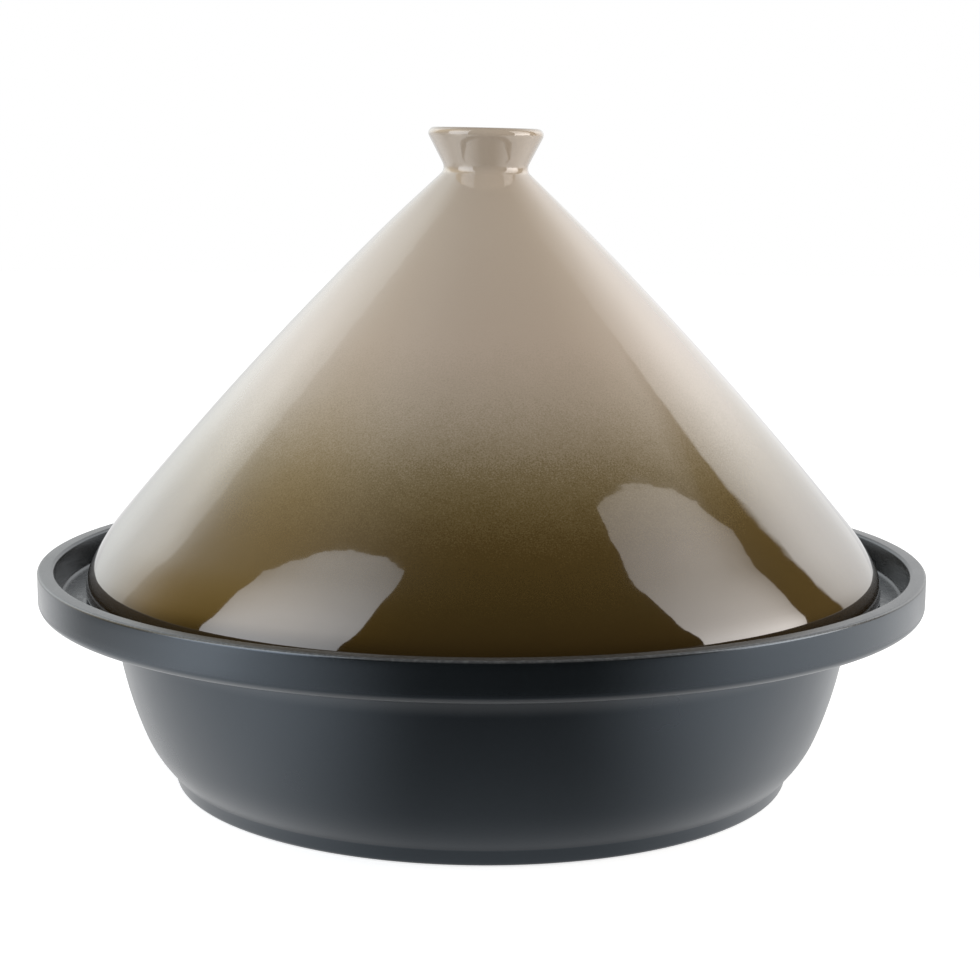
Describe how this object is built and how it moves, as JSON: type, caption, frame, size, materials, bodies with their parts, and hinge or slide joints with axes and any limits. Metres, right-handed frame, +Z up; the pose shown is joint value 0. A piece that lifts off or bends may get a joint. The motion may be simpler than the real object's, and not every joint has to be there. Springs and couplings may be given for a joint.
{
  "type": "tagine",
  "caption": "Round tagine: a cast dish with a wide flanged rim and a glazed conical lid with a flared knob, which rests on the ledge inside the rim.",
  "frame": {"origin": "centre of the flat underside of the dish's foot, where the tagine stands", "axes": "+Z up along the turned axis that the dish and the lid share; X and Y are level and alike"},
  "size_m": [0.32, 0.32, 0.2351],
  "materials": {
    "dish_coating": "satin",
    "lid_glaze": "gloss"
  },
  "bodies": {
    "root": {"base": "dish_coating", "lid": "lid_glaze"}
  },
  "joints": []
}
